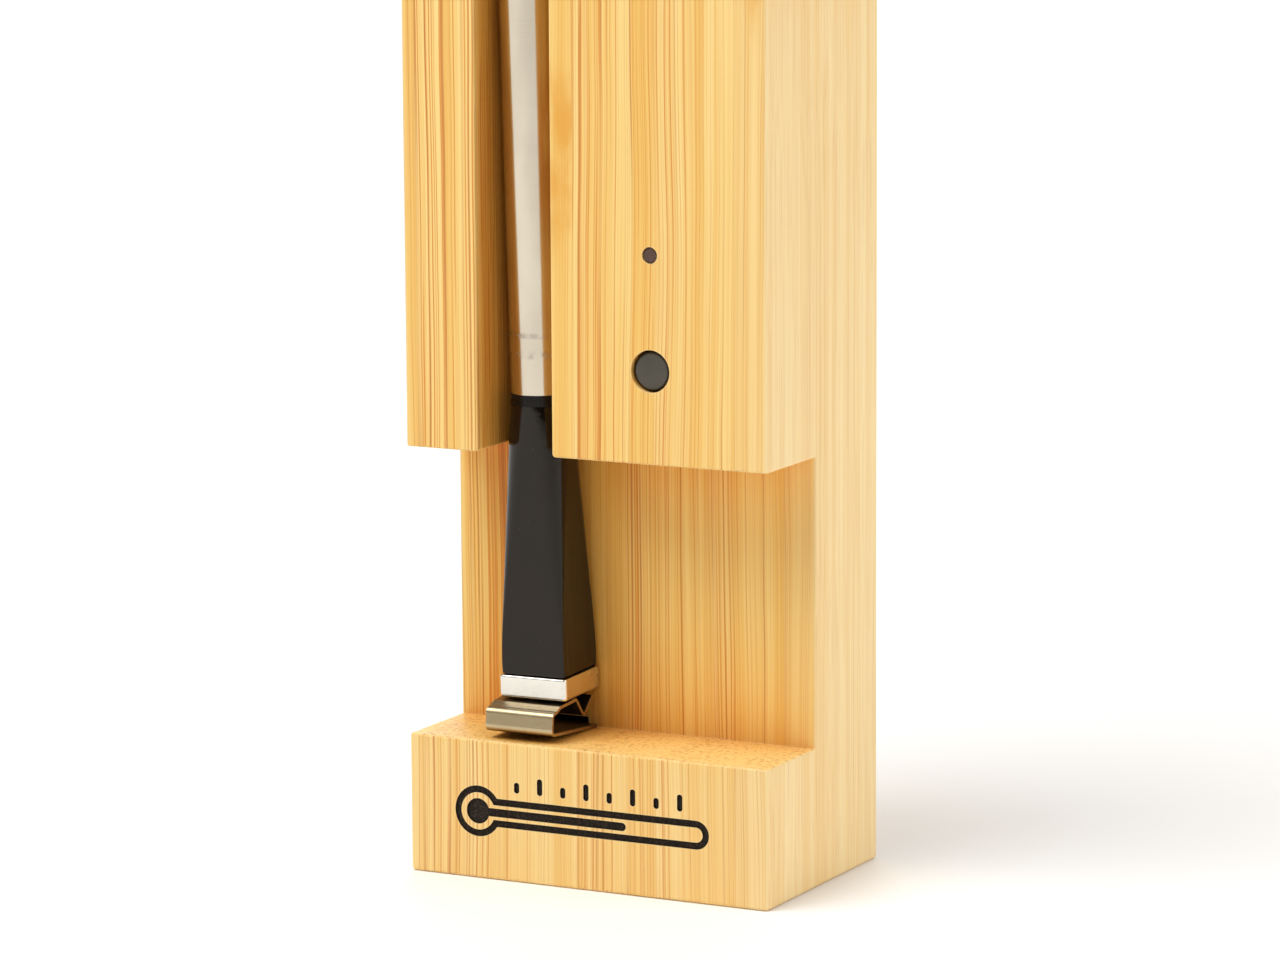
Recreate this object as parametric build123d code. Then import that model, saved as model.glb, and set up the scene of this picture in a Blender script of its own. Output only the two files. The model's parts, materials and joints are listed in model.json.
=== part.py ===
from build123d import *
from math import atan2, degrees, pi, sqrt
import os

# Cordless meat thermometer: a bamboo charging block with a wireless probe in its groove.
# Frame: origin at the centre of the block's base, +Z up, the front face towards -Y. Millimetres.

# ---- block ----
BLOCK_W = 40.0
BLOCK_D = 25.4
BLOCK_H = 158.0
FRONT = -BLOCK_D / 2
BACK = BLOCK_D / 2
LEFT = -BLOCK_W / 2
RIGHT = BLOCK_W / 2
CORNER_R = 0.45
END_R = 0.4
SOFT_EDGE_R = 0.25
NOSE_R = 0.35
COVER_EDGE_R = 0.4

# Finger recess across the whole width: it frees both sides of the probe's handle.
LEDGE_Z = 14.15
RECESS_TOP = 43.3
CUT_DEPTH = 10.9
CUT_WALL_Y = FRONT + CUT_DEPTH

# Groove for the probe, closed at its top end.
GROOVE_W = 8.35
GROOVE_X = -7.7
GROOVE_TOP = 151.0

# ---- rear cover and what it covers ----
COVER_W = 34.4
COVER_BOTTOM = 11.2
COVER_TOP = 144.8
COVER_T = 3.1
COVER_GAP = 0.2
COVER_R = 3.0
REBATE_FLOOR = BACK - COVER_T - 0.1
SCOOP_R = 7.0
SCOOP_DEPTH = 2.2

POCKET_X = 7.5
POCKET_W = 18.4
POCKET_BOTTOM = 46.8
POCKET_TOP = 104.0
POCKET_FRONT = FRONT + 5.0

CHANNEL_X = -7.7
CHANNEL_W = 5.4
CHANNEL_Y = 4.0
CHANNEL_BOTTOM = LEDGE_Z
CHANNEL_TOP = 131.0
PASSAGE_Z = (99.7, 103.1)

# ---- thermometer sign cut into the front of the base: bulb, stem, column and scale marks ----
SIGN_DEPTH = 0.25
SIGN_Z = 6.9
SIGN_BULB_X = -12.2
SIGN_BULB_R = 2.6
SIGN_STEM_H = 2.9
SIGN_END_X = 13.6
SIGN_STROKE = 0.7
SIGN_COLUMN_H = 0.85
SIGN_COLUMN_X = 4.0
SIGN_FILL_R = 1.3
SIGN_LONG_MARK = 1.7
SIGN_SHORT_MARK = 1.1
SIGN_MARK_INSET = 3.2
SIGN_MARK_GAP = 0.75
SIGN_MARK_W = 0.6
SIGN_MARK_PITCH = 2.6
SIGN_MARKS = 8

# ---- battery tray ----
TRAY_GAP = 0.2
TRAY_WALL = 1.0
FLOOR_Y = (-3.9, -2.9)
CROSS_WALL_Z = (98.6, 99.6)
EAR_W = 7.0
EAR_H = 6.0
EAR_T = 1.0
EAR_DROP = 2.3
EAR_SCREW_OFFSET = 3.2

# ---- circuit board ----
BOARD_T = 1.0
BOARD_FRONT = FLOOR_Y[0] - BOARD_T
BOARD_Z = (48.6, 102.5)
BOARD_W = 16.0
WIRE_PAD_Z = 101.4
WIRE_PADS_X = (3.2, 6.0)
RADIO_Z = 84.0
SHIELD_SIZE = (10.0, 11.0, 1.6)
INDUCTOR_X = 12.0
INDUCTOR_Z = 72.5
CAPACITOR_SIZE = (1.6, 0.8, 0.8)
CAPACITOR_ROWS_X = (3.4, 1.4)
RADIO_CHIP_SIZE = (5.0, 5.0, 0.9)
CHIP_ANTENNA_SIZE = (8.0, 2.0, 1.2)
CHIP_ANTENNA_Z = 97.0
INDUCTOR_SIZE = (3.8, 3.8, 1.7)
LED_SIZE = (1.6, 0.8, 0.6)

# ---- battery, size AAA ----
CELL_R = 5.25
CELL_Y = FLOOR_Y[1] + 0.15 + CELL_R
CELL_Z = (53.7, 98.2)
CELL_JACKET_T = 0.11
CELL_RIM_R = 3.6
CELL_RIM_T = 0.25
CELL_NUB_R = 1.9
CELL_NUB_H = 0.8
CONTACT_W = 9.0
CONTACT_T = 0.35
SPRING_WIRE_R = 0.3
SPRING_R = 2.9
SPRING_TURNS = 4

# ---- button and light ----
BUTTON_X = 7.4
BUTTON_Z = 52.5
BUTTON_HOLE_R = 2.1
BUTTON_R = 1.93
BUTTON_SUNK = 0.3
BUTTON_TRAVEL = 0.35
BUTTON_RIM_R = 0.3
SWITCH_W = 4.7
SWITCH_TALL = 3.6
SWITCH_H = 1.4
SWITCH_STEM_R = 0.88
SWITCH_GUIDE_R = 0.95
SWITCH_FLOOR_T = 0.3
SWITCH_FACE = BOARD_FRONT - SWITCH_H
STEM_FACE = SWITCH_FACE - 0.5
STEM_BACK = BOARD_FRONT - SWITCH_FLOOR_T - BUTTON_TRAVEL - 0.05
BUTTON_BACK = STEM_FACE - 0.05
FLANGE_FRONT = POCKET_FRONT + 0.06
FLANGE_R = 2.9
LIGHT_Z = 63.85
LIGHT_R = 0.8
LIGHT_FACE = FRONT + 0.08
LIGHT_COLLAR_T = 0.9
LIGHT_RIM_R = 0.2

# ---- magnets ----
MAGNET_R = 4.0
MAGNET_T = 2.0
KEEPER_T = 1.0
MAGNET_X = 13.0
MAGNET_Z = (21.0, 135.0)

# ---- probe ----
PROBE_L = 130.0
SHAFT_R = 3.0
SHAFT_WALL = 0.4
BORE_R = 2.3
PLUG_H = 3.0
CAP_SIDE = 7.5
CAP_T = 2.3
HANDLE_SIDE = 7.05
HANDLE_EDGE_R = 0.27
HANDLE_EARLY_GROWTH = 0.62
HANDLE_LATE_GROWTH = 0.38
HANDLE_FOOT_R = 0.25
CAP_CORNER_R = 0.45
CAP_FOOT_R = 0.35
CAP_TOP_R = 0.2
HANDLE_TOP = 29.55
COLLAR_TOP = 30.7
FACETS_END = 0.8
TIP_START = 117.0
TIP_BEVEL_START = 118.5
TIP_BORE_R = 1.3
POINT_R = 0.25
MARK_RING_S = 73.5
MARK_RING_H = 0.5
MARK_RING_DEPTH = 0.12
AMBIENT_BEAD_R = 0.8
ANTENNA_S = 9.0
ANTENNA_H = 16.0
ANTENNA_PITCH = 1.6
ANTENNA_R = 1.5
ANTENNA_WIRE_R = 0.25
PROBE_BOARD_T = 0.6
PROBE_BOARD_HALF_W = 1.9
PROBE_BOARD_S = (27.0, 74.0)
PROBE_CHIP_S = 40.0
PROBE_CHIP_SIDE = 2.8
PROBE_CHIP_FACE = -1.1
PROBE_PARTS_FACE = -0.9
PROBE_PARTS_SIDE = 0.8
PROBE_PARTS_HALF_W = 0.8
CELL_S = (76.0, 98.0)
PROBE_CELL_R = 2.0
PROBE_CELL_SHIFT = -0.3
SLEEVE_R = (2.55, 2.4)
TIP_BEAD_R = 0.9
SENSOR_LEAD_R = 0.17
SENSOR_LEAD_X = 0.25
SENSOR_LEAD_Y = 1.98

# The probe stands in its own frame along +Z from the cap's underside, then leans in the groove.
PROBE_FOOT = (-7.64, -5.75, 18.14)
LEAN_FORWARD = 0.029
LEAN_LEFT = 0.0085

# ---- contacts ----
STRIP_T = 0.3
CLIP_W = 7.5
CLIP_X = -8.0
CLIP_TAIL_W = 4.6
CLIP_REST_Z = LEDGE_Z + 0.03 + STRIP_T / 2
CLIP_SLOT_TOP = LEDGE_Z + 0.9
TAIL_SCREW_Z = 20.2
TAB_TOP = 24.0
TAIL_TAB_Y = CHANNEL_Y + 0.05
SHAFT_TAG_X = -7.2
SHAFT_TAG_Z = 126.4
SHAFT_CLIP_Z = (113.0, 122.0)
SHAFT_SCREW_Z = (SHAFT_CLIP_Z[0] + SHAFT_CLIP_Z[1]) / 2
SHAFT_CLIP_T = 0.4
SHAFT_CLIP_GRIP = 0.08
CLIP_POCKET_MARGIN = 0.6
CLIP_POCKET_SIDE = 1.1
CLIP_POCKET_FRONT = 1.6
CLIP_SLOT_SIDE = 0.3
WIRE_R = 0.45
WIRE_BEND_R = 2.5

# ---- gaps between pieces ----
TOUCH_GAP = 0.02
CLOSE_GAP = 0.05
SEAT_GAP = 0.1

# ---- tray details ----
TRAY_CORNER_R = 0.8
TRAY_LEAD_ENTRY_Z = 100.2
TRAY_LEAD_HOLE_R = 0.8
TRAY_SLOT_HALF_W = 1.2
THUMB_INSET = 12.0
THUMB_BACK = 1.5
RIB_T = 1.2
RIB_INSET = (5.0, 8.0)
EAR_HOLE_R = 1.05

# ---- holes in the block ----
TRAY_PILOT_Y = 2.0
TAIL_PILOT_Y = -1.0
SHAFT_PILOT_Y = 3.0
LEAD_HOLE_R = 0.9
SCREW_HOLE_R = 0.9
DISC_CHAMFER = 0.15

# ---- wood screws ----
SCREW_PITCH = 0.7
SCREW_POINT_H = 1.2
SCREW_POINT_R = 0.15
SCREW_THREAD_R = 0.25
SCREW_CROSS_W = 0.4
TRAY_SCREW_L = 5.4
CLIP_SCREW_L = 4.6
SCREW_R = 0.82
SCREW_HEAD_R = 1.7
SCREW_HEAD_H = 0.9
PILOT_R = 0.85


def cuboid(x, y, z):
    """Box between two values along each axis."""
    middle = [(pair[0] + pair[1]) / 2 for pair in (x, y, z)]
    size = [abs(pair[1] - pair[0]) for pair in (x, y, z)]
    return Pos(*middle) * Box(*size)


def rod_y(x, z, y, radius):
    """Cylinder along Y between two values of y."""
    return Pos(x, (y[0] + y[1]) / 2, z) * Rot(90, 0, 0) * Cylinder(radius, abs(y[1] - y[0]))


def rod_z(x, y, z, radius):
    """Cylinder along Z between two values of z."""
    return Pos(x, y, (z[0] + z[1]) / 2) * Cylinder(radius, z[1] - z[0])


def plate_y(width, bottom, top, y, corner_r, x=0.0):
    """Plate that faces Y, with rounded corners."""
    outline = Plane.XZ.offset(-y[1]) * Pos(x, (bottom + top) / 2) * RectangleRounded(
        width, top - bottom, corner_r
    )
    return extrude(outline, y[1] - y[0])


def edges_near(shape, test, direction=None):
    """Edges whose middle point passes the test, and that run along one axis if it is given."""
    chosen = shape.edges() if direction is None else shape.edges().filter_by(direction)
    return [edge for edge in chosen if test(edge.position_at(0.5))]


def close_to(value, target):
    return abs(value - target) < 0.02


def probe_axis():
    """Unit vector from the probe's cap to its tip."""
    length = sqrt(1 + LEAN_FORWARD**2 + LEAN_LEFT**2)
    return Vector(-LEAN_LEFT / length, -LEAN_FORWARD / length, 1 / length)


def probe_point(along):
    """Point on the probe's centre line."""
    return Vector(*PROBE_FOOT) + probe_axis() * along


def lean(part):
    """Take a piece from the probe's own frame to its place in the groove."""
    axis = probe_axis()
    tilt_x = degrees(atan2(-axis.Y, sqrt(axis.X**2 + axis.Z**2)))
    tilt_y = degrees(atan2(axis.X, axis.Z))
    return Pos(*PROBE_FOOT) * Rot(0, tilt_y, 0) * Rot(tilt_x, 0, 0) * part


def save(name, shape):
    shape.label = name
    export_step(shape, f"parts/{name}.step")


# ---------------------------------------------------------------- block


def block_blank():
    """Rounded blank with the finger recess and the groove cut in its front."""
    blank = cuboid((LEFT, RIGHT), (FRONT, BACK), (0, BLOCK_H))
    blank = fillet(blank.edges().filter_by(Axis.Z), CORNER_R)
    ends = blank.faces().sort_by(Axis.Z)
    blank = fillet(ends[0].edges() + ends[-1].edges(), END_R)
    recess = cuboid((LEFT - 1, RIGHT + 1), (FRONT - 1, CUT_WALL_Y), (LEDGE_Z, RECESS_TOP))
    half = GROOVE_W / 2
    groove = cuboid(
        (GROOVE_X - half, GROOVE_X + half), (FRONT - 1, CUT_WALL_Y), (RECESS_TOP - 1, GROOVE_TOP)
    )
    return blank - recess - groove


def soften(blank):
    """Break the sharp edges that the recess and the groove leave in the front."""
    half = GROOVE_W / 2
    groove_sides = (GROOVE_X - half, GROOVE_X + half)

    def is_nose(p):
        at_side = any(close_to(p.X, side) for side in groove_sides)
        return at_side and close_to(p.Z, RECESS_TOP) and p.Y < CUT_WALL_Y

    def is_soft(p):
        on_front = close_to(p.Y, FRONT)
        on_mouth = close_to(p.Z, LEDGE_Z) or close_to(p.Z, RECESS_TOP)
        on_mouth_edge = on_mouth and (on_front or abs(p.X) > RIGHT - CORNER_R)
        on_groove_edge = on_front and any(close_to(p.X, side) for side in groove_sides)
        on_groove_end = on_front and close_to(p.Z, GROOVE_TOP)
        on_wall_side = close_to(p.Y, CUT_WALL_Y) and close_to(abs(p.X), RIGHT)
        return on_mouth_edge or on_groove_edge or on_groove_end or on_wall_side

    blank = fillet(edges_near(blank, is_nose, Axis.Y), NOSE_R)
    return fillet(edges_near(blank, is_soft), SOFT_EDGE_R)


def shaft_clip_centre():
    """Point of the probe's centre line at the middle of the spring clip."""
    return probe_point(SHAFT_SCREW_Z - PROBE_FOOT[2])


def shaft_clip_pocket():
    """Wider place in the groove that takes the spring clip's two arms."""
    centre = shaft_clip_centre()
    half = SHAFT_R + SHAFT_CLIP_GRIP + SHAFT_CLIP_T + CLIP_POCKET_SIDE
    z = (SHAFT_CLIP_Z[0] - CLIP_POCKET_MARGIN, SHAFT_CLIP_Z[1] + CLIP_POCKET_MARGIN)
    return cuboid((centre.X - half, centre.X + half), (centre.Y - CLIP_POCKET_FRONT, CUT_WALL_Y), z)


def thermometer_sign():
    """Plain thermometer sign, lying on its side: an outline with a filled bulb and scale marks."""

    def outline(bulb_r, stem_h, end_x):
        stem = Pos((SIGN_BULB_X + end_x) / 2, 0) * SlotOverall(end_x - SIGN_BULB_X + stem_h, stem_h)
        return Pos(SIGN_BULB_X, 0) * Circle(bulb_r) + stem

    end_x = SIGN_END_X - SIGN_STEM_H / 2
    sign = outline(SIGN_BULB_R, SIGN_STEM_H, end_x)
    sign -= outline(SIGN_BULB_R - SIGN_STROKE, SIGN_STEM_H - 2 * SIGN_STROKE, end_x)
    sign += outline(SIGN_FILL_R, SIGN_COLUMN_H, SIGN_COLUMN_X)
    for number in range(SIGN_MARKS):
        length = SIGN_LONG_MARK if number % 2 == 0 else SIGN_SHORT_MARK
        x = SIGN_END_X - SIGN_MARK_INSET - number * SIGN_MARK_PITCH
        z = SIGN_STEM_H / 2 + SIGN_MARK_GAP + length / 2
        sign += Pos(x, z) * RectangleRounded(SIGN_MARK_W, length, SIGN_MARK_W / 2 - 0.01)
    face = Plane.XZ.offset(-(FRONT + SIGN_DEPTH)) * Pos(0, SIGN_Z) * sign
    return extrude(face, SIGN_DEPTH + 1)


def block_body():
    block = soften(block_blank()) - shaft_clip_pocket() - thermometer_sign()
    # Rear rebate, with a thumb scoop below it.
    rebate = plate_y(
        COVER_W + 2 * COVER_GAP,
        COVER_BOTTOM - COVER_GAP,
        COVER_TOP + COVER_GAP,
        (REBATE_FLOOR, BACK + 1),
        COVER_R + COVER_GAP,
    )
    scoop = rod_y(0, COVER_BOTTOM + 1.5, (BACK - SCOOP_DEPTH, BACK + 1), SCOOP_R)
    block = block - rebate - scoop
    # Pocket for the tray, channel for the leads and the passage between them.
    pocket = cuboid(
        (POCKET_X - POCKET_W / 2, POCKET_X + POCKET_W / 2),
        (POCKET_FRONT, BACK),
        (POCKET_BOTTOM, POCKET_TOP),
    )
    channel = cuboid(
        (CHANNEL_X - CHANNEL_W / 2, CHANNEL_X + CHANNEL_W / 2),
        (CHANNEL_Y, BACK - COVER_T),
        (CHANNEL_BOTTOM, CHANNEL_TOP),
    )
    passage = cuboid((CHANNEL_X, POCKET_X), (CHANNEL_Y, BACK - COVER_T), PASSAGE_Z)
    slot = cuboid(
        (CLIP_X - CLIP_TAIL_W / 2 - CLIP_SLOT_SIDE, CLIP_X + CLIP_TAIL_W / 2 + CLIP_SLOT_SIDE),
        (CUT_WALL_Y - 1, CHANNEL_Y + 1),
        (LEDGE_Z, CLIP_SLOT_TOP),
    )
    block = block - pocket - channel - passage - slot
    # Recesses for the tray's two ears, and their pilot holes.
    for z, outward in ear_places():
        recess = cuboid(
            (POCKET_X - EAR_W / 2 - TRAY_GAP, POCKET_X + EAR_W / 2 + TRAY_GAP),
            (REBATE_FLOOR - EAR_DROP, BACK - COVER_T),
            sorted((z - outward, z + outward * (EAR_H + TRAY_GAP))),
        )
        pilot = rod_y(POCKET_X, z + outward * EAR_SCREW_OFFSET, (TRAY_PILOT_Y, REBATE_FLOOR), PILOT_R)
        block = block - recess - pilot
    # Bores for the button and the light, the lead hole, and the contact screws' pilots.
    block -= rod_y(BUTTON_X, BUTTON_Z, (FRONT - 1, POCKET_FRONT + 1), BUTTON_HOLE_R)
    block -= rod_y(BUTTON_X, LIGHT_Z, (FRONT - 1, POCKET_FRONT + 1), LIGHT_R + TOUCH_GAP)
    block -= rod_y(SHAFT_TAG_X, SHAFT_TAG_Z, (CUT_WALL_Y - 1, CHANNEL_Y + 1), LEAD_HOLE_R)
    block -= rod_y(CLIP_X, TAIL_SCREW_Z, (TAIL_PILOT_Y, CHANNEL_Y + 1), PILOT_R)
    block -= rod_y(shaft_clip_centre().X, SHAFT_SCREW_Z, (CUT_WALL_Y - 1, SHAFT_PILOT_Y), PILOT_R)
    # Seats for the steel discs that the cover's magnets hold on to.
    for x in (-MAGNET_X, MAGNET_X):
        for z in MAGNET_Z:
            seat_y = (REBATE_FLOOR - KEEPER_T - SEAT_GAP, BACK)
            block -= rod_y(x, z, seat_y, MAGNET_R + SEAT_GAP)
    return block


def rear_cover():
    """Bamboo plate with blind seats for its magnets."""
    y = (REBATE_FLOOR + SEAT_GAP, BACK)
    cover = plate_y(COVER_W, COVER_BOTTOM, COVER_TOP, y, COVER_R)
    rim = edges_near(cover, lambda p: close_to(p.Y, BACK))
    cover = fillet(rim, COVER_EDGE_R)
    for x in (-MAGNET_X, MAGNET_X):
        for z in MAGNET_Z:
            seat_y = (y[0] - 1, y[0] + MAGNET_T + CLOSE_GAP)
            cover -= rod_y(x, z, seat_y, MAGNET_R + CLOSE_GAP)
    return cover


def discs(y):
    """Four round discs, one near each corner of the cover."""
    places = [(x, z) for x in (-MAGNET_X, MAGNET_X) for z in MAGNET_Z]
    return Compound(children=[chamfered_disc(x, z, y, MAGNET_R) for x, z in places])


def cover_magnets():
    front = REBATE_FLOOR + SEAT_GAP
    return discs((front + TOUCH_GAP, front + MAGNET_T))


def keeper_discs():
    """Steel discs in the block that the cover's magnets hold on to."""
    return discs((REBATE_FLOOR - KEEPER_T - CLOSE_GAP, REBATE_FLOOR - CLOSE_GAP))


def chamfered_disc(x, z, y, radius):
    disc = rod_y(x, z, y, radius)
    return chamfer(disc.edges().filter_by(GeomType.CIRCLE), DISC_CHAMFER)


# ---------------------------------------------------------------- tray, board and battery


def ear_places():
    """Height of each end of the tray, and the way its ear points."""
    return ((POCKET_BOTTOM, -1), (POCKET_TOP, 1))


def battery_tray():
    """Moulded tray: board chamber in front, battery chamber behind, an ear at each end."""
    outer_x = (POCKET_X - POCKET_W / 2 + TRAY_GAP, POCKET_X + POCKET_W / 2 - TRAY_GAP)
    inner_x = (outer_x[0] + TRAY_WALL, outer_x[1] - TRAY_WALL)
    outer_z = (POCKET_BOTTOM + TRAY_GAP, POCKET_TOP - TRAY_GAP)
    inner_z = (outer_z[0] + TRAY_WALL, outer_z[1] - TRAY_WALL)
    back = REBATE_FLOOR - 0.2
    tray = cuboid(outer_x, (POCKET_FRONT + TRAY_GAP, back), outer_z)
    tray = fillet(tray.edges().filter_by(Axis.Y), TRAY_CORNER_R)
    tray -= cuboid(inner_x, (POCKET_FRONT - 1, FLOOR_Y[0]), inner_z)
    tray -= cuboid(inner_x, (FLOOR_Y[1], back + 1), (inner_z[0], CROSS_WALL_Z[0]))
    tray -= cuboid(inner_x, (FLOOR_Y[1], back + 1), (CROSS_WALL_Z[1], inner_z[1]))
    # Thumb cut-outs in the side walls, so that the battery can be lifted out.
    thumb_z = (CELL_Z[0] + THUMB_INSET, CELL_Z[1] - THUMB_INSET)
    tray -= cuboid((outer_x[0] - 1, outer_x[1] + 1), (CELL_Y + THUMB_BACK, back + 1), thumb_z)
    # Lead entry in the side wall, lead holes and contact slots in the floor.
    entry_z = (TRAY_LEAD_ENTRY_Z, inner_z[1])
    tray -= cuboid((outer_x[0] - 1, inner_x[0] + 0.1), (CHANNEL_Y, back + 1), entry_z)
    for x in WIRE_PADS_X:
        tray -= rod_y(x, WIRE_PAD_Z, (FLOOR_Y[0] - 1, FLOOR_Y[1] + 1), TRAY_LEAD_HOLE_R)
    slot_x = (POCKET_X - TRAY_SLOT_HALF_W, POCKET_X + TRAY_SLOT_HALF_W)
    for z in contact_planes():
        slot_z = (z - 0.2, z + CONTACT_T + 0.2)
        tray -= cuboid(slot_x, (FLOOR_Y[0] - 1, FLOOR_Y[1] + 1), slot_z)
    # Curved ribs that cradle the battery.
    for z in (CELL_Z[0] + RIB_INSET[0], CELL_Z[1] - RIB_INSET[1]):
        rib = cuboid(inner_x, (FLOOR_Y[1] - 0.1, CELL_Y - THUMB_BACK), (z, z + RIB_T))
        tray += rib - rod_z(POCKET_X, CELL_Y, (z - 1, z + 3), CELL_R + SEAT_GAP)
    for z, outward in ear_places():
        ear = cuboid(
            (POCKET_X - EAR_W / 2, POCKET_X + EAR_W / 2),
            (REBATE_FLOOR - EAR_DROP + CLOSE_GAP, REBATE_FLOOR - EAR_DROP + EAR_T),
            sorted((z - outward, z + outward * EAR_H)),
        )
        outer_corners = edges_near(ear, lambda p: close_to(p.Z, z + outward * EAR_H), Axis.X)
        ear = chamfer(outer_corners, 0.3)
        hole = rod_y(POCKET_X, z + outward * EAR_SCREW_OFFSET, (0, BACK), EAR_HOLE_R)
        tray = tray + ear - hole
    return tray


def contact_planes():
    """Lower face of the negative and of the positive battery contact."""
    return (POCKET_BOTTOM + TRAY_GAP + TRAY_WALL + 0.1, CELL_Z[1] + 0.03)


def screw(length):
    """Small wood screw along +Z from its point at 0, with a cross recess in a domed head."""
    point = Pos(0, 0, SCREW_POINT_H / 2) * Cone(SCREW_POINT_R, SCREW_R, SCREW_POINT_H)
    shank = rod_z(0, 0, (SCREW_POINT_H, length), SCREW_R)
    groove = Torus(SCREW_R + SCREW_THREAD_R / 2, SCREW_THREAD_R)
    first = SCREW_POINT_H + 0.1
    for turn in range(int((length - first - 0.2) / SCREW_PITCH)):
        shank -= Pos(0, 0, first + turn * SCREW_PITCH) * groove
    head = rod_z(0, 0, (length, length + SCREW_HEAD_H), SCREW_HEAD_R)
    head = fillet(head.edges().sort_by(Axis.Z)[-1], SCREW_HEAD_H * 0.45)
    slot = SCREW_HEAD_R * 1.2
    cross = Box(slot, SCREW_CROSS_W, SCREW_HEAD_H) + Box(SCREW_CROSS_W, slot, SCREW_HEAD_H)
    head -= Pos(0, 0, length + SCREW_HEAD_H) * cross
    return point + shank + head


def screw_to_front(x, z, seat_y, length):
    """Screw whose head sits on a face at seat_y and whose point is towards -Y."""
    return Pos(x, seat_y - length, z) * Rot(-90, 0, 0) * screw(length)


def tray_screws():
    seat = REBATE_FLOOR - EAR_DROP + EAR_T + TOUCH_GAP
    return Compound(
        children=[
            screw_to_front(POCKET_X, z + outward * EAR_SCREW_OFFSET, seat, TRAY_SCREW_L)
            for z, outward in ear_places()
        ]
    )


def circuit_board():
    """Board on the tray's floor, with plated holes where the two leads arrive."""
    board = plate_y(
        BOARD_W, BOARD_Z[0], BOARD_Z[1], (BOARD_FRONT, FLOOR_Y[0]), 0.8, x=POCKET_X
    )
    for x in WIRE_PADS_X:
        board -= rod_y(x, WIRE_PAD_Z, (BOARD_FRONT - 1, FLOOR_Y[0] + 1), WIRE_R + 0.03)
    return board


def board_block(x, z, size, corner_r=0.15):
    """Component on the board's front face: size is width, height and how far it stands off."""
    width, height, tall = size
    body = cuboid(
        (x - width / 2, x + width / 2),
        (BOARD_FRONT - tall, BOARD_FRONT),
        (z - height / 2, z + height / 2),
    )
    top = body.faces().sort_by(Axis.Y)[0]
    return fillet(top.edges(), corner_r)


def radio_shield():
    """Pressed can over the radio: hollow, open towards the board."""
    width, height, tall = SHIELD_SIZE
    wall = 0.2
    can = board_block(POCKET_X, RADIO_Z, SHIELD_SIZE, 0.4)
    hollow = cuboid(
        (POCKET_X - width / 2 + wall, POCKET_X + width / 2 - wall),
        (BOARD_FRONT - tall + wall, BOARD_FRONT + 1),
        (RADIO_Z - height / 2 + wall, RADIO_Z + height / 2 - wall),
    )
    return can - hollow


def radio_chip():
    return board_block(POCKET_X, RADIO_Z, RADIO_CHIP_SIZE)


def chip_antenna():
    return board_block(POCKET_X, CHIP_ANTENNA_Z, CHIP_ANTENNA_SIZE)


def power_inductor():
    return board_block(INDUCTOR_X, INDUCTOR_Z, INDUCTOR_SIZE, 0.5)


def board_capacitors():
    """Small chip capacitors in two rows beside the shield and the inductor."""
    places = [(CAPACITOR_ROWS_X[0], INDUCTOR_Z - 3.5 + 2.6 * step) for step in range(3)]
    places += [(CAPACITOR_ROWS_X[1], RADIO_Z - 3.5 + 2.4 * step) for step in range(3)]
    places.append((INDUCTOR_X, INDUCTOR_Z - 7.5))
    return Compound(children=[board_block(x, z, CAPACITOR_SIZE, 0.1) for x, z in places])


def status_led():
    return board_block(BUTTON_X, LIGHT_Z, LED_SIZE, 0.12)


def light_guide():
    """Clear rod that takes the status light through the front wall, with a collar behind it."""
    rod = rod_y(BUTTON_X, LIGHT_Z, (LIGHT_FACE, BOARD_FRONT - LED_SIZE[2] - 0.2), LIGHT_R)
    collar_y = (POCKET_FRONT + TOUCH_GAP, POCKET_FRONT + LIGHT_COLLAR_T)
    collar = rod_y(BUTTON_X, LIGHT_Z, collar_y, 2 * LIGHT_R)
    guide = rod + collar
    face = edges_near(guide, lambda p: close_to(p.Y, LIGHT_FACE))
    return fillet(face, LIGHT_RIM_R)


def tactile_switch():
    """Square switch housing with the guide hole for its stem."""
    body = board_block(BUTTON_X, BUTTON_Z, (SWITCH_W, SWITCH_TALL, SWITCH_H), 0.25)
    guide_y = (SWITCH_FACE - 1, BOARD_FRONT - SWITCH_FLOOR_T)
    return body - rod_y(BUTTON_X, BUTTON_Z, guide_y, SWITCH_GUIDE_R)


def switch_stem():
    stem = rod_y(BUTTON_X, BUTTON_Z, (STEM_FACE, STEM_BACK), SWITCH_STEM_R)
    return fillet(stem.edges().sort_by(Axis.Y)[0], 0.15)


def push_button():
    """Round cap with a soft rim and a flange that keeps it behind the front wall."""
    cap = rod_y(BUTTON_X, BUTTON_Z, (FRONT + BUTTON_SUNK, FLANGE_FRONT + 0.1), BUTTON_R)
    rim = edges_near(cap, lambda p: close_to(p.Y, FRONT + BUTTON_SUNK))
    cap = fillet(rim, BUTTON_RIM_R)
    flange = rod_y(BUTTON_X, BUTTON_Z, (FLANGE_FRONT, BUTTON_BACK), FLANGE_R)
    return cap + flange


def battery_can():
    """Steel can with rounded rims."""
    z = (CELL_Z[0], CELL_Z[1] - CELL_NUB_H - CELL_RIM_T)
    can = rod_z(POCKET_X, CELL_Y, z, CELL_R - CELL_JACKET_T - 0.01)
    return fillet(can.edges().filter_by(GeomType.CIRCLE), 0.4)


def battery_sleeve():
    """Thin printed jacket round the can."""
    z = (CELL_Z[0] + 0.5, CELL_Z[1] - CELL_NUB_H - CELL_RIM_T - 0.5)
    outer = rod_z(POCKET_X, CELL_Y, z, CELL_R)
    return outer - rod_z(POCKET_X, CELL_Y, (z[0] - 1, z[1] + 1), CELL_R - CELL_JACKET_T)


def battery_terminal():
    """Pressed plus cap: a wide rim and a small nub."""
    shoulder = CELL_Z[1] - CELL_NUB_H
    rim = rod_z(POCKET_X, CELL_Y, (shoulder - CELL_RIM_T, shoulder), CELL_RIM_R)
    nub = rod_z(POCKET_X, CELL_Y, (shoulder - 0.1, CELL_Z[1]), CELL_NUB_R)
    nub = fillet(nub.edges().sort_by(Axis.Z)[-1], 0.25)
    return rim + nub


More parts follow.
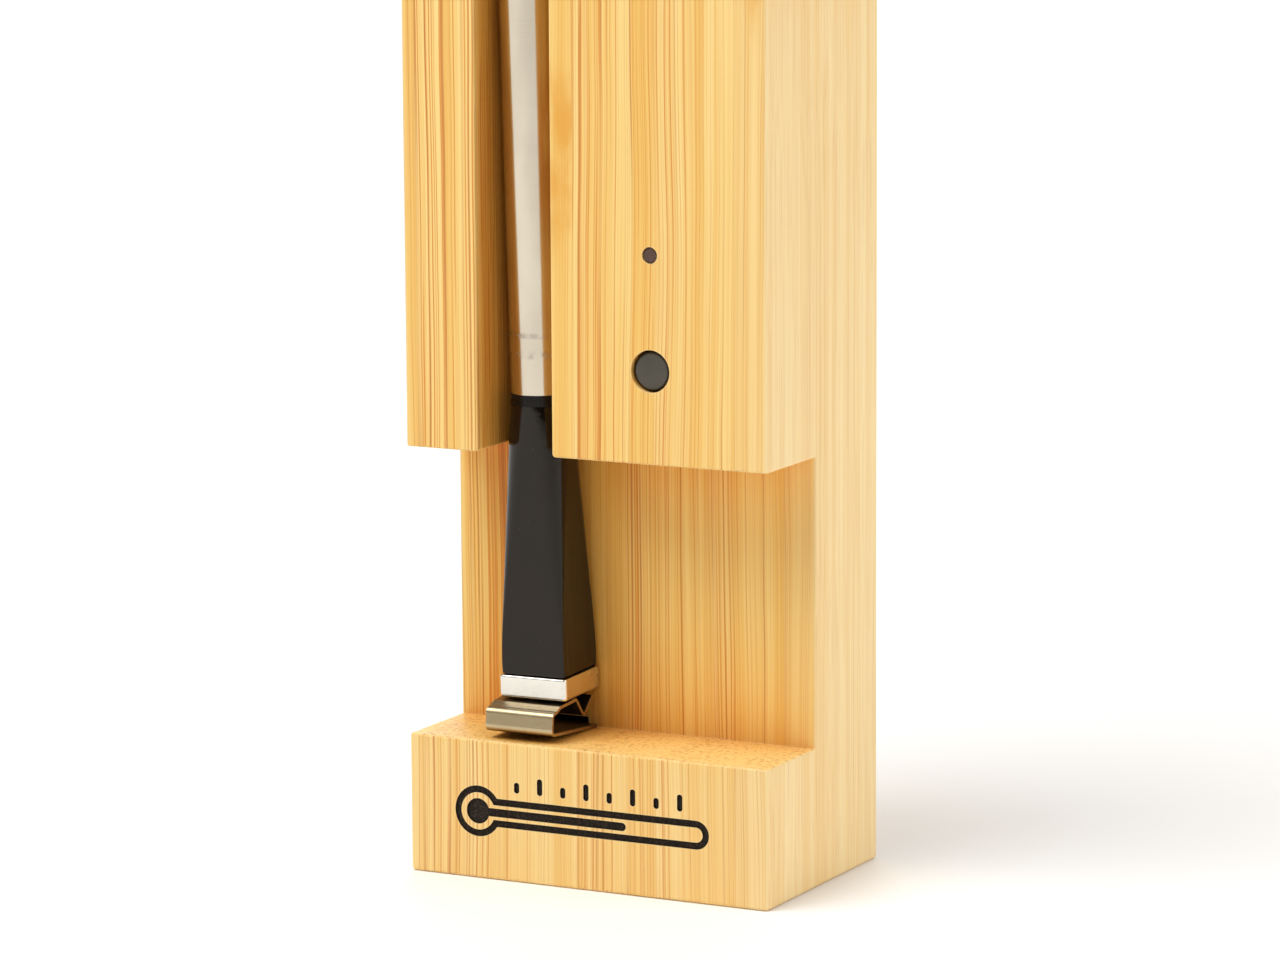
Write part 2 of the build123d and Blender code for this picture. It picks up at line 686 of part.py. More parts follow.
def battery_contact(plane_z):
    """Flat spring-steel plate at one end of the battery, with a leg through the tray's floor."""
    half = CONTACT_W / 2
    end = CELL_Y + half
    z = (plane_z, plane_z + CONTACT_T)
    plate = cuboid((POCKET_X - half, POCKET_X + half), (FLOOR_Y[1] + 0.05, end), z)
    plate = fillet(edges_near(plate, lambda p: close_to(p.Y, end), Axis.Z), 1.5)
    leg = cuboid((POCKET_X - 0.8, POCKET_X + 0.8), (FLOOR_Y[0], FLOOR_Y[1] + 1), z)
    return plate + leg


def battery_contact_negative():
    return battery_contact(contact_planes()[0])


def battery_contact_positive():
    return battery_contact(contact_planes()[1])


def battery_spring():
    """Coil that presses the battery's flat end."""
    low = contact_planes()[0] + CONTACT_T + SPRING_WIRE_R + TOUCH_GAP
    high = CELL_Z[0] - SPRING_WIRE_R - TOUCH_GAP
    path = Helix(pitch=(high - low) / SPRING_TURNS, height=high - low, radius=SPRING_R)
    start = Plane(origin=path @ 0, z_dir=path % 0)
    coil = sweep(start * Circle(SPRING_WIRE_R), path=path, is_frenet=True)
    return Pos(POCKET_X, CELL_Y, low) * coil


# ---------------------------------------------------------------- contacts and leads


def tail_contact_clip():
    """Bent spring strip: free end, dip, crest under the cap, front folds, leg, tail and screw tab."""
    tab_y = TAIL_TAB_Y + STRIP_T / 2
    crest_z = PROBE_FOOT[2] - 0.31
    side_view = [
        (FRONT + 9.55, crest_z - 0.25),
        (FRONT + 7.75, crest_z - 1.95),
        (FRONT + 6.15, crest_z),
        (FRONT + 2.8, crest_z - 0.22),
        (FRONT + 1.9, crest_z - 0.6),
        (FRONT + 1.25, crest_z - 0.63),
        (FRONT + 1.0, CLIP_REST_Z + 0.77),
        (CUT_WALL_Y - 0.8, CLIP_REST_Z),
        (tab_y, CLIP_REST_Z),
        (tab_y, TAB_TOP),
    ]
    bends = [0.35, 0.3, 0.6, 0.6, 0.5, 0.55, 3.0, 0.5]
    line = FilletPolyline(*side_view, radius=bends)
    clip = extrude(Plane.YZ * trace(line, line_width=STRIP_T), CLIP_W / 2, both=True)
    # The tail and the tab are narrower than the sprung part.
    for side in (-1, 1):
        x = sorted((side * CLIP_TAIL_W / 2, side * CLIP_W))
        clip -= cuboid(x, (CUT_WALL_Y - 0.4, CHANNEL_Y + 2), (LEDGE_Z - 1, TAB_TOP + 1))
    clip = fillet(edges_near(clip, lambda p: close_to(p.Z, TAB_TOP), Axis.Y), 1.0)
    clip = Pos(CLIP_X, 0, 0) * clip
    return clip - rod_y(CLIP_X, TAIL_SCREW_Z, (CHANNEL_Y - 1, CHANNEL_Y + 2), SCREW_HOLE_R)


def clip_screw():
    seat = TAIL_TAB_Y + STRIP_T + TOUCH_GAP
    return screw_to_front(CLIP_X, TAIL_SCREW_Z, seat, CLIP_SCREW_L)


def shaft_clip():
    """Spring clip that holds the shaft between two arms and feeds the probe's steel tube."""
    z = SHAFT_CLIP_Z
    axis = shaft_clip_centre()
    inner = SHAFT_R + SHAFT_CLIP_GRIP + CLOSE_GAP
    outer = inner + SHAFT_CLIP_T
    floor = CUT_WALL_Y - TOUCH_GAP
    clip = cuboid((axis.X - outer, axis.X + outer), (floor - SHAFT_CLIP_T, floor), z)
    for side in (-1, 1):
        arm_x = sorted((axis.X + side * inner, axis.X + side * outer))
        clip += cuboid(arm_x, (axis.Y - 0.6, floor), z)
        # The mouth flares outwards, which guides the shaft in.
        mouth = Plane.XY * Polyline(
            (axis.X + side * inner, axis.Y - 0.5),
            (axis.X + side * outer, axis.Y - 0.5),
            (axis.X + side * (outer + 0.5), axis.Y - 1.4),
            (axis.X + side * (inner + 0.5), axis.Y - 1.4),
            close=True,
        )
        clip += Pos(0, 0, z[0]) * extrude(make_face(mouth), z[1] - z[0])
    # Tag above the base for the lead.
    tag_z = (z[1] - 1, SHAFT_TAG_Z + 1.4)
    clip += cuboid((axis.X - 1.2, axis.X + 2.6), (floor - SHAFT_CLIP_T, floor), tag_z)
    clip -= rod_y(axis.X, SHAFT_SCREW_Z, (floor - 2, floor + 1), SCREW_HOLE_R)
    clip -= rod_y(SHAFT_TAG_X, SHAFT_TAG_Z, (floor - 2, floor + 1), WIRE_R + TOUCH_GAP)
    return clip


def shaft_clip_screw():
    """Screw that fixes the shaft clip to the groove's floor, from the front."""
    seat = CUT_WALL_Y - SHAFT_CLIP_T - 2 * TOUCH_GAP
    place = Pos(shaft_clip_centre().X, seat + CLIP_SCREW_L, SHAFT_SCREW_Z)
    return place * Rot(90, 0, 0) * screw(CLIP_SCREW_L)


def lead(points):
    """Insulated lead along straight runs joined by tangent arcs."""
    path = FilletPolyline(*points, radius=WIRE_BEND_R)
    start = Plane(origin=path @ 0, z_dir=path % 0)
    wire = sweep(start * Circle(WIRE_R), path=path)
    expected = pi * WIRE_R**2 * path.length
    print(f"lead length {path.length:.1f} mm, volume share {wire.volume / expected:.3f}")
    return wire


def tail_contact_lead():
    """From the tail clip's tab up the rear channel and through the tray to the board."""
    y = TAIL_TAB_Y + STRIP_T + WIRE_R + 0.01
    return lead(
        [
            (CLIP_X, y, TAIL_SCREW_Z + 2.2),
            (CLIP_X, y, WIRE_PAD_Z),
            (WIRE_PADS_X[0], y, WIRE_PAD_Z),
            (WIRE_PADS_X[0], BOARD_FRONT + 0.1, WIRE_PAD_Z),
        ]
    )


def shaft_contact_lead():
    """From the shaft clip's tag through the block, down the channel and to the board."""
    y = TAIL_TAB_Y + STRIP_T + 3 * WIRE_R + 1.6
    return lead(
        [
            (SHAFT_TAG_X, CUT_WALL_Y - SHAFT_CLIP_T, SHAFT_TAG_Z),
            (SHAFT_TAG_X, y, SHAFT_TAG_Z),
            (SHAFT_TAG_X, y, WIRE_PAD_Z),
            (WIRE_PADS_X[1], y, WIRE_PAD_Z),
            (WIRE_PADS_X[1], BOARD_FRONT + 0.1, WIRE_PAD_Z),
        ]
    )


# ---------------------------------------------------------------- probe, in its own frame


def tube(z, outer_r, inner_r):
    return rod_z(0, 0, z, outer_r) - rod_z(0, 0, (z[0] - 1, z[1] + 1), inner_r)


def probe_tube():
    """Thin steel tube with a fine ring groove that marks how deep to push it in."""
    body = tube((COLLAR_TOP, TIP_START), SHAFT_R, SHAFT_R - SHAFT_WALL)
    ring = tube((MARK_RING_S, MARK_RING_S + MARK_RING_H), SHAFT_R + 1, SHAFT_R - MARK_RING_DEPTH)
    return body - ring


def probe_tip():
    """Turned point with a spigot that is welded into the tube."""
    outline = Polyline(
        (0, TIP_START - 3),
        (SHAFT_R - SHAFT_WALL - TOUCH_GAP, TIP_START - 3),
        (SHAFT_R - SHAFT_WALL - TOUCH_GAP, TIP_START),
        (SHAFT_R, TIP_START),
        (SHAFT_R, TIP_BEVEL_START),
        (POINT_R, PROBE_L - 0.1),
        (0, PROBE_L),
        close=True,
    )
    turned = revolve(Plane.XZ * make_face(outline), Axis.Z)
    bore = rod_z(0, 0, (TIP_START - 4, TIP_START + 3.2), TIP_BORE_R)
    return turned - bore


def handle_section(share):
    """Side and corner radius of the handle, from its round top (0) to its square foot (1)."""
    top_side = 2 * SHAFT_R + 0.05
    growth = HANDLE_EARLY_GROWTH * sqrt(share) + HANDLE_LATE_GROWTH * share**2
    side = top_side + (HANDLE_SIDE - top_side) * growth
    roundness = max(0.0, 1 - share / FACETS_END)
    corner = HANDLE_EDGE_R + (SHAFT_R - HANDLE_EDGE_R) * roundness
    return side, corner


def probe_handle():
    """Hollow ceramic grip that grows from the round shaft to a square foot."""
    low = CAP_T + TOUCH_GAP
    high = HANDLE_TOP
    sections = []
    for share in (0, 0.1, 0.25, 0.45, 0.65, FACETS_END, 1):
        side, corner = handle_section(share)
        height = high - (high - low) * share
        sections.append(Pos(0, 0, height) * RectangleRounded(side, side, corner))
    grip = loft(sections)
    foot = edges_near(grip, lambda p: close_to(p.Z, low))
    grip = fillet(foot, HANDLE_FOOT_R)
    return grip - rod_z(0, 0, (low - 1, high + 1), BORE_R)


def probe_collar():
    """Seal ring between the grip and the steel tube."""
    return tube((HANDLE_TOP + TOUCH_GAP, COLLAR_TOP - TOUCH_GAP), SHAFT_R, BORE_R)


def end_cap():
    """Square steel foot that is the probe's charging contact, with a plug into the grip."""
    cap = Pos(0, 0, CAP_T / 2) * Box(CAP_SIDE, CAP_SIDE, CAP_T)
    cap = fillet(cap.edges().filter_by(Axis.Z), CAP_CORNER_R)
    cap = fillet(cap.faces().sort_by(Axis.Z)[0].edges(), CAP_FOOT_R)
    cap = fillet(cap.faces().sort_by(Axis.Z)[-1].edges(), CAP_TOP_R)
    return cap + rod_z(0, 0, (CAP_T - 0.2, CAP_T + PLUG_H), BORE_R - 0.04)


def ambient_sensor():
    """Small glass bead on the cap's plug, for the air temperature."""
    return Pos(0, 0, CAP_T + PLUG_H + AMBIENT_BEAD_R + 0.1) * Sphere(AMBIENT_BEAD_R)


def probe_antenna():
    """Springy wire coil inside the grip."""
    path = Helix(pitch=ANTENNA_PITCH, height=ANTENNA_H, radius=ANTENNA_R)
    start = Plane(origin=path @ 0, z_dir=path % 0)
    coil = sweep(start * Circle(ANTENNA_WIRE_R), path=path, is_frenet=True)
    return Pos(0, 0, ANTENNA_S) * coil


def insulating_sleeve():
    return tube((COLLAR_TOP + 1, CELL_S[1] + 2), *SLEEVE_R)


def probe_board():
    x = (-PROBE_BOARD_HALF_W, PROBE_BOARD_HALF_W)
    board = cuboid(x, (-PROBE_BOARD_T / 2, PROBE_BOARD_T / 2), PROBE_BOARD_S)
    return fillet(board.edges().filter_by(Axis.Y), 0.5)


def probe_chip():
    x = (-PROBE_CHIP_SIDE / 2, PROBE_CHIP_SIDE / 2)
    z = (PROBE_CHIP_S, PROBE_CHIP_S + PROBE_CHIP_SIDE)
    chip = cuboid(x, (PROBE_CHIP_FACE, -PROBE_BOARD_T / 2), z)
    return fillet(chip.faces().sort_by(Axis.Y)[0].edges(), 0.12)


def probe_board_parts():
    """Crystal and capacitors in a row above the chip."""
    places = [PROBE_CHIP_S + 5 + 2.2 * step for step in range(6)]
    x = (-PROBE_PARTS_HALF_W, PROBE_PARTS_HALF_W)
    y = (PROBE_PARTS_FACE, -PROBE_BOARD_T / 2)
    return Compound(children=[cuboid(x, y, (s, s + PROBE_PARTS_SIDE)) for s in places])


def probe_cell():
    """Heat-proof storage cell beside the sensor leads."""
    cell = rod_z(0, PROBE_CELL_SHIFT, CELL_S, PROBE_CELL_R)
    return fillet(cell.edges().filter_by(GeomType.CIRCLE), 0.35)


def tip_sensor():
    return Pos(0, 0, TIP_START + 3 - TIP_BEAD_R) * Sphere(TIP_BEAD_R)


def sensor_leads():
    """Pair of fine leads past the cell to the sensor in the tip."""
    z = (PROBE_BOARD_S[1] - 1, TIP_START - 3.3)
    places = (-SENSOR_LEAD_X, SENSOR_LEAD_X)
    return Compound(children=[rod_z(x, SENSOR_LEAD_Y, z, SENSOR_LEAD_R) for x in places])


# ---------------------------------------------------------------- build

BLOCK_NODES = {
    "block_body": block_body,
    "battery_tray": battery_tray,
    "tray_screws": tray_screws,
    "circuit_board": circuit_board,
    "radio_shield": radio_shield,
    "radio_chip": radio_chip,
    "chip_antenna": chip_antenna,
    "power_inductor": power_inductor,
    "board_capacitors": board_capacitors,
    "tactile_switch": tactile_switch,
    "switch_stem": switch_stem,
    "push_button": push_button,
    "status_led": status_led,
    "light_guide": light_guide,
    "battery_can": battery_can,
    "battery_sleeve": battery_sleeve,
    "battery_terminal": battery_terminal,
    "battery_contact_positive": battery_contact_positive,
    "battery_contact_negative": battery_contact_negative,
    "battery_spring": battery_spring,
    "tail_contact_clip": tail_contact_clip,
    "clip_screw": clip_screw,
    "shaft_clip": shaft_clip,
    "shaft_clip_screw": shaft_clip_screw,
    "tail_contact_lead": tail_contact_lead,
    "shaft_contact_lead": shaft_contact_lead,
    "rear_cover": rear_cover,
    "cover_magnets": cover_magnets,
    "keeper_discs": keeper_discs,
}

PROBE_NODES = {
    "probe_tube": probe_tube,
    "probe_tip": probe_tip,
    "probe_collar": probe_collar,
    "probe_handle": probe_handle,
    "end_cap": end_cap,
    "ambient_sensor": ambient_sensor,
    "probe_antenna": probe_antenna,
    "insulating_sleeve": insulating_sleeve,
    "probe_board": probe_board,
    "probe_chip": probe_chip,
    "probe_board_parts": probe_board_parts,
    "probe_cell": probe_cell,
    "tip_sensor": tip_sensor,
    "sensor_leads": sensor_leads,
}

os.makedirs("parts", exist_ok=True)
for node_name, make in BLOCK_NODES.items():
    save(node_name, make())
for node_name, make in PROBE_NODES.items():
    save(node_name, lean(make()))
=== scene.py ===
import json
from math import cos, radians, sin

import bpy
from mathutils import Matrix, Vector


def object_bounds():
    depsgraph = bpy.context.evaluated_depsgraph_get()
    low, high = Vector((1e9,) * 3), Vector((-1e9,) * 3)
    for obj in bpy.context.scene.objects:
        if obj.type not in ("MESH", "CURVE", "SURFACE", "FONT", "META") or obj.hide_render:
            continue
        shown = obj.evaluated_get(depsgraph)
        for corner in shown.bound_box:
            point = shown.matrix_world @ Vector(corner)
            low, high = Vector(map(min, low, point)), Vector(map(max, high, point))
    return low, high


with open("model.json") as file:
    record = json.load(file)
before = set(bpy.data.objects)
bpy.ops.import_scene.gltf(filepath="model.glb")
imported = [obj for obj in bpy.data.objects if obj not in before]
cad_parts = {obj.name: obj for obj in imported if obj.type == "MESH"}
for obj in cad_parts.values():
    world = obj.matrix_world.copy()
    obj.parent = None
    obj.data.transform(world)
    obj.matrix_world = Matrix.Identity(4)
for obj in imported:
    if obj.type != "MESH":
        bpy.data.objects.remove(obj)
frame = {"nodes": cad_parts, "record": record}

CAD_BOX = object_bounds()
MM = 0.001
nodes = frame["nodes"]


# ---------------------------------------------------------------- camera

CAMERA_AT = Vector((0.247889, -0.480431, 0.130089))
CAMERA_AIM = Vector((0.001064, -0.002700, 0.039880))
CAMERA_ROLL = radians(-0.330)
LENS = 154.12
SENSOR = 36.0


def make_camera():
    """Long lens, a little above the block and to its right."""
    data = bpy.data.cameras.new("camera")
    data.lens = LENS
    data.sensor_width = SENSOR
    data.clip_start = 0.02
    data.clip_end = 20.0
    camera = bpy.data.objects.new("camera", data)
    bpy.context.scene.collection.objects.link(camera)
    forward = (CAMERA_AIM - CAMERA_AT).normalized()
    right = forward.cross(Vector((0, 0, 1))).normalized()
    up = right.cross(forward)
    rolled_right = cos(CAMERA_ROLL) * right + sin(CAMERA_ROLL) * up
    rolled_up = -sin(CAMERA_ROLL) * right + cos(CAMERA_ROLL) * up
    turn = Matrix((rolled_right, rolled_up, -forward)).transposed()
    camera.matrix_world = Matrix.Translation(CAMERA_AT) @ turn.to_4x4()
    bpy.context.scene.camera = camera


# ---------------------------------------------------------------- shader helpers

# The colour sockets of a mix node.
MIX_FIRST = 6
MIX_SECOND = 7
MIX_RESULT = 2
# Rays that feel for edges and gaps at each shaded point.
FEELER_RAYS = 4


class Graph:
    """Short-hand for the nodes of one shader."""

    def __init__(self, tree):
        self.tree = tree

    def put(self, socket, value):
        if isinstance(value, bpy.types.NodeSocket):
            self.tree.links.new(value, socket)
        else:
            socket.default_value = value

    def math(self, operation, a, b=0.0):
        node = self.tree.nodes.new("ShaderNodeMath")
        node.operation = operation
        self.put(node.inputs[0], a)
        self.put(node.inputs[1], b)
        return node.outputs[0]

    def scaled(self, vector, scale, offset=(0, 0, 0)):
        if not isinstance(scale, tuple):
            scale = (scale,) * 3
        node = self.tree.nodes.new("ShaderNodeVectorMath")
        node.operation = "MULTIPLY_ADD"
        self.put(node.inputs[0], vector)
        self.put(node.inputs[1], scale)
        self.put(node.inputs[2], offset)
        return node.outputs[0]

    def moved(self, vector, offset):
        node = self.tree.nodes.new("ShaderNodeVectorMath")
        node.operation = "ADD"
        self.put(node.inputs[0], vector)
        self.put(node.inputs[1], offset)
        return node.outputs[0]

    def split(self, vector):
        node = self.tree.nodes.new("ShaderNodeSeparateXYZ")
        self.put(node.inputs[0], vector)
        return node.outputs

    def join(self, x, y, z):
        node = self.tree.nodes.new("ShaderNodeCombineXYZ")
        for socket, value in zip(node.inputs, (x, y, z)):
            self.put(socket, value)
        return node.outputs[0]

    def noise(self, vector, detail=2.0, roughness=0.5):
        node = self.tree.nodes.new("ShaderNodeTexNoise")
        self.put(node.inputs["Vector"], vector)
        self.put(node.inputs["Scale"], 1.0)
        self.put(node.inputs["Detail"], detail)
        self.put(node.inputs["Roughness"], roughness)
        return node.outputs["Fac"]

    def cells(self, vector, flat=False):
        """Distance to the nearest cell centre, and that cell's random colour."""
        node = self.tree.nodes.new("ShaderNodeTexVoronoi")
        node.voronoi_dimensions = "2D" if flat else "3D"
        self.put(node.inputs["Vector"], vector)
        self.put(node.inputs["Scale"], 1.0)
        return node.outputs["Distance"], node.outputs["Color"]

    def ramp(self, value, low, high, start=0.0, end=1.0, smooth=True):
        """Map low..high to start..end, held beyond both ends."""
        node = self.tree.nodes.new("ShaderNodeMapRange")
        node.interpolation_type = "SMOOTHSTEP" if smooth else "LINEAR"
        for name, item in (
            ("Value", value),
            ("From Min", low),
            ("From Max", high),
            ("To Min", start),
            ("To Max", end),
        ):
            self.put(node.inputs[name], item)
        return node.outputs[0]

    def mix(self, share, first, second, blend="MIX"):
        """Mix two colours."""
        node = self.tree.nodes.new("ShaderNodeMix")
        node.data_type = "RGBA"
        node.blend_type = blend
        self.put(node.inputs[0], share)
        self.put(node.inputs[MIX_FIRST], first)
        self.put(node.inputs[MIX_SECOND], second)
        return node.outputs[MIX_RESULT]

    def choose(self, number, values):
        """One of several values from 0 to 1, by a whole number that counts them from 0."""
        count = len(values)
        node = self.tree.nodes.new("ShaderNodeValToRGB")
        node.color_ramp.interpolation = "CONSTANT"
        self.put(node.inputs[0], self.math("DIVIDE", self.math("ADD", number, 0.5), float(count)))
        stops = node.color_ramp.elements
        while len(stops) < count:
            stops.new(1.0)
        for index, value in enumerate(values):
            stops[index].position = index / count
            stops[index].color = (value, value, value, 1.0)
        return node.outputs["Color"]

    def near(self, value, target, inner, outer):
        """1 within the inner distance of a target value, falling to 0 at the outer one."""
        distance = self.math("ABSOLUTE", self.math("SUBTRACT", value, target))
        return self.ramp(distance, inner, outer, 1.0, 0.0)

    def both(self, *factors):
        """Product of several factors."""
        result = factors[0]
        for factor in factors[1:]:
            result = self.math("MULTIPLY", result, factor)
        return result

    def bump(self, height, distance, strength=0.5):
        """Bump whose height of 1 stands for a distance in millimetres."""
        node = self.tree.nodes.new("ShaderNodeBump")
        node.inputs["Strength"].default_value = strength
        node.inputs["Distance"].default_value = distance * MM
        self.put(node.inputs["Height"], height)
        return node.outputs[0]

    def edge_wear(self, radius):
        """1 on edges and near 0 on flats, from the difference of two normals."""
        bevel = self.tree.nodes.new("ShaderNodeBevel")
        bevel.samples = FEELER_RAYS
        bevel.inputs["Radius"].default_value = radius * MM
        geometry = self.tree.nodes.new("ShaderNodeNewGeometry")
        node = self.tree.nodes.new("ShaderNodeVectorMath")
        node.operation = "DOT_PRODUCT"
        self.put(node.inputs[0], bevel.outputs[0])
        self.put(node.inputs[1], geometry.outputs["Normal"])
        return self.ramp(node.outputs["Value"], 0.98, 0.80)

    def openness(self, reach):
        """1 on open surfaces, falling to 0 deep inside gaps and corners."""
        node = self.tree.nodes.new("ShaderNodeAmbientOcclusion")
        node.samples = FEELER_RAYS
        node.inputs["Distance"].default_value = reach * MM
        return node.outputs["AO"]

    def facing_up(self):
        """1 on level faces, 0 on upright ones."""
        geometry = self.tree.nodes.new("ShaderNodeNewGeometry")
        _, _, up = self.split(geometry.outputs["Normal"])
        return self.ramp(self.math("ABSOLUTE", up), 0.6, 0.85)


class Shader(Graph):
    """One material: a principled surface, with places in millimetres of the model's frame."""

    def __init__(self, name):
        self.material = bpy.data.materials.new(name)
        self.material.use_nodes = True
        super().__init__(self.material.node_tree)
        self.tree.nodes.clear()
        output = self.tree.nodes.new("ShaderNodeOutputMaterial")
        self.surface = self.tree.nodes.new("ShaderNodeBsdfPrincipled")
        self.tree.links.new(self.surface.outputs[0], output.inputs["Surface"])
        coordinates = self.tree.nodes.new("ShaderNodeTexCoord")
        self.place = self.scaled(coordinates.outputs["Object"], 1 / MM)

    def set(self, **values):
        """Set or link inputs of the principled shader, by name with _ for a space."""
        for name, value in values.items():
            self.put(self.surface.inputs[name.replace("_", " ")], value)


def colour(red, green, blue):
    """Linear colour from 0..255 screen values."""

    def linear(value):
        share = value / 255
        return share / 12.92 if share <= 0.04045 else ((share + 0.055) / 1.055) ** 2.4

    return (linear(red), linear(green), linear(blue), 1.0)


# ---------------------------------------------------------------- bamboo

# The strips are glued side by side: how wide each is, and how far left of the middle they start.
STRIP_PITCH = 8.75
STRIP_START = 27.25
# For each strip from left to right: how pale it is, how many bundles show, and its joint's height.
STRIP_PALE = (0.1, 0.0, 0.0, 0.0, 0.1, 0.4)
STRIP_BUNDLES = (1.0, 1.35, 0.65, 1.0, 0.8, 0.45)
STRIP_JOINT = (205.0, 118.0, 73.0, 141.0, 232.0, 96.0)
# Joint heights are looked up as shares of this one.
TALLEST = 400.0
# How far apart the strips' patterns start in the cane, across and along it.
STRIP_JUMP_Y = 17.3
STRIP_JUMP_Z = 331.0
# Where in the cane the cover's blank lies, away from the block's.
COVER_SHIFT = (3.1, 60.0, 47.0)

# Lacquered cane: each tone in the darkest strips and in the palest.
PALE_TONES = ((251, 219, 142), (247, 221, 168))
HONEY_TONES = ((243, 196, 106), (241, 207, 146))
LINE_TONES = ((222, 144, 58), (226, 182, 120))
DEEP_TONES = ((200, 116, 42), (210, 160, 98))
# Painted shade: tints that multiply the wood's colour on the cut faces, darker still in their
# corners and gaps.
CUT_SHADE_TINT = (1.03, 1.0, 0.88, 1.0)
CORNER_SHADE_TINT = (0.96, 0.76, 0.47, 1.0)
DEEP_CORNER_SHADE_TINT = (0.79, 0.71, 0.59, 1.0)

FRONT_MM = CAD_BOX[0][1] / MM
SIDE_MM = CAD_BOX[1][0] / MM
# How far behind the front the cut faces with painted shade reach, short of the block's back.
CUTS_END = 19.0
# The sign: how deep its char starts and ends, and the stretch of the front that holds it.
CHAR_START = (0.015, 0.06)
CHAR_END = (1.2, 1.0)
SIGN_LOW = 1.0
SIGN_HIGH = 13.2
SIGN_HALF_W = 19.0


def fibres(s, cane, pitch, radius, offset):
    """Thin bundles that run up the cane, some fading out along the way: 1 inside one."""
    shifted = s.scaled(cane, (1 / pitch, 1 / pitch, 1.0), offset)
    far, own = s.cells(shifted, flat=True)
    _, _, height = s.split(cane)
    number, _, _ = s.split(own)
    # Every bundle reads the noise along its own upright line.
    apart = s.join(s.math("MULTIPLY", number, 97.0), s.math("MULTIPLY", number, 41.0), 0.0)
    along = s.join(0.0, 0.0, s.math("MULTIPLY", height, 0.022))
    life = s.noise(s.moved(apart, along), detail=1.0)
    lively = s.ramp(life, 0.36, 0.56, 0.25, 1.0)
    return s.both(s.ramp(s.math("SUBTRACT", radius, far), -0.04, 0.08), lively)


def cane_place(s, place):
    """Place inside the cane, the strip's number and how far across the strip it is."""
    x, y, z = s.split(place)
    # The fibres wander a little as they climb.
    slow = s.noise(s.scaled(place, (0.04, 0.04, 0.012)), detail=1.0)
    quick = s.noise(s.scaled(place, (0.3, 0.3, 0.04), (7, 3, 1)), detail=1.0)
    drift = s.ramp(slow, 0, 1, -1.5, 1.5, smooth=False)
    shiver = s.ramp(quick, 0, 1, -0.3, 0.3, smooth=False)
    wander = s.math("ADD", drift, shiver)
    strips_across = s.math("DIVIDE", s.math("ADD", x, STRIP_START), STRIP_PITCH)
    strip = s.math("FLOOR", strips_across)
    across = s.math("FRACT", strips_across)
    # Each strip is its own piece of cane, so its pattern starts elsewhere.
    own_y = s.math("ADD", y, s.math("MULTIPLY", strip, STRIP_JUMP_Y))
    own_z = s.math("ADD", z, s.math("MULTIPLY", strip, STRIP_JUMP_Z))
    cane = s.join(s.math("ADD", x, wander), own_y, own_z)
    return cane, strip, across


def cane_tones(s, strip, height, side):
    """Pale, honey, line and deep tones: paler in some strips, near the base and on the sides."""
    low = s.ramp(height, 18.0, 12.0, 0.0, 0.3)
    in_strip = s.math("ADD", s.choose(strip, STRIP_PALE), low)
    share = s.math("MAXIMUM", in_strip, s.both(side, 0.9))
    return [
        s.mix(share, colour(*darkest), colour(*palest))
        for darkest, palest in (PALE_TONES, HONEY_TONES, LINE_TONES, DEEP_TONES)
    ]


def cane_joint(s, place, strip, side):
    """1 in the blurred band where a strip has a joint of its cane, weaker on the sides."""
    _, _, z = s.split(place)
    share = s.choose(strip, [height / TALLEST for height in STRIP_JOINT])
    band = s.near(z, s.math("MULTIPLY", share, TALLEST), 3.0, 13.0)
    swirl = s.noise(s.scaled(place, (0.5, 0.5, 0.16), (4, 4, 4)), detail=3.0)
    return s.both(band, s.ramp(swirl, 0.3, 0.65), s.ramp(side, 0.0, 1.0, 1.0, 0.3))


def long_grain(s, cane, strip, across, joint, tones):
    """Colour and relief of the faces that run along the cane."""
    pale, honey, line, deep = tones
    # Bundles are dense at the cane's outer wall and sparse at its inner wall.
    busy = s.choose(strip, STRIP_BUNDLES)
    outer = s.both(s.ramp(across, 0.0, 1.0, 1.0, 0.45, smooth=False), busy)
    patch = s.noise(s.scaled(cane, (0.45, 0.45, 0.006), (2, 9, 4)), detail=2.0)
    gather = s.ramp(patch, 0.35, 0.62, 0.35, 1.15)
    strong = fibres(s, cane, 0.62, s.both(outer, gather, 0.24), (0.0, 0.0, 0.0))
    medium = fibres(s, cane, 0.41, s.both(outer, gather, 0.26), (3.3, 5.1, 0.0))
    fine_radius = s.both(s.ramp(outer, 0.0, 1.0, 0.5, 1.0), 0.3)
    fine = fibres(s, cane, 0.24, fine_radius, (1.7, 8.2, 0.0))
    hair = s.noise(s.scaled(cane, (9.0, 9.0, 0.02)), detail=2.0, roughness=0.6)
    band = s.noise(s.scaled(cane, (0.8, 0.8, 0.004), (1, 1, 1)), detail=2.0, roughness=0.55)
    cloud = s.noise(s.scaled(cane, (0.16, 0.16, 0.02), (6, 2, 8)), detail=2.0)

    wood = s.mix(s.ramp(band, 0.36, 0.64), pale, honey)
    wood = s.mix(s.ramp(cloud, 0.35, 0.7, 0.0, 0.4), wood, honey)
    wood = s.mix(s.ramp(hair, 0.5, 0.75, 0.0, 0.5), wood, line)
    wood = s.mix(s.ramp(hair, 0.5, 0.25, 0.0, 0.35), wood, colour(252, 226, 160))
    calm = s.ramp(joint, 0.0, 1.0, 1.0, 0.25)
    wood = s.mix(s.both(fine, calm, s.ramp(busy, 0.5, 1.3, 0.45, 0.9)), wood, line)
    wood = s.mix(s.both(medium, calm, 0.9), wood, line)
    wood = s.mix(s.both(strong, calm, 0.75), wood, deep)
    wood = s.mix(s.both(joint, 0.85), wood, colour(232, 166, 68))

    sunk = s.math("ADD", s.both(strong, 0.5), s.both(medium, 0.3))
    return wood, s.math("SUBTRACT", s.both(hair, 0.5), sunk)


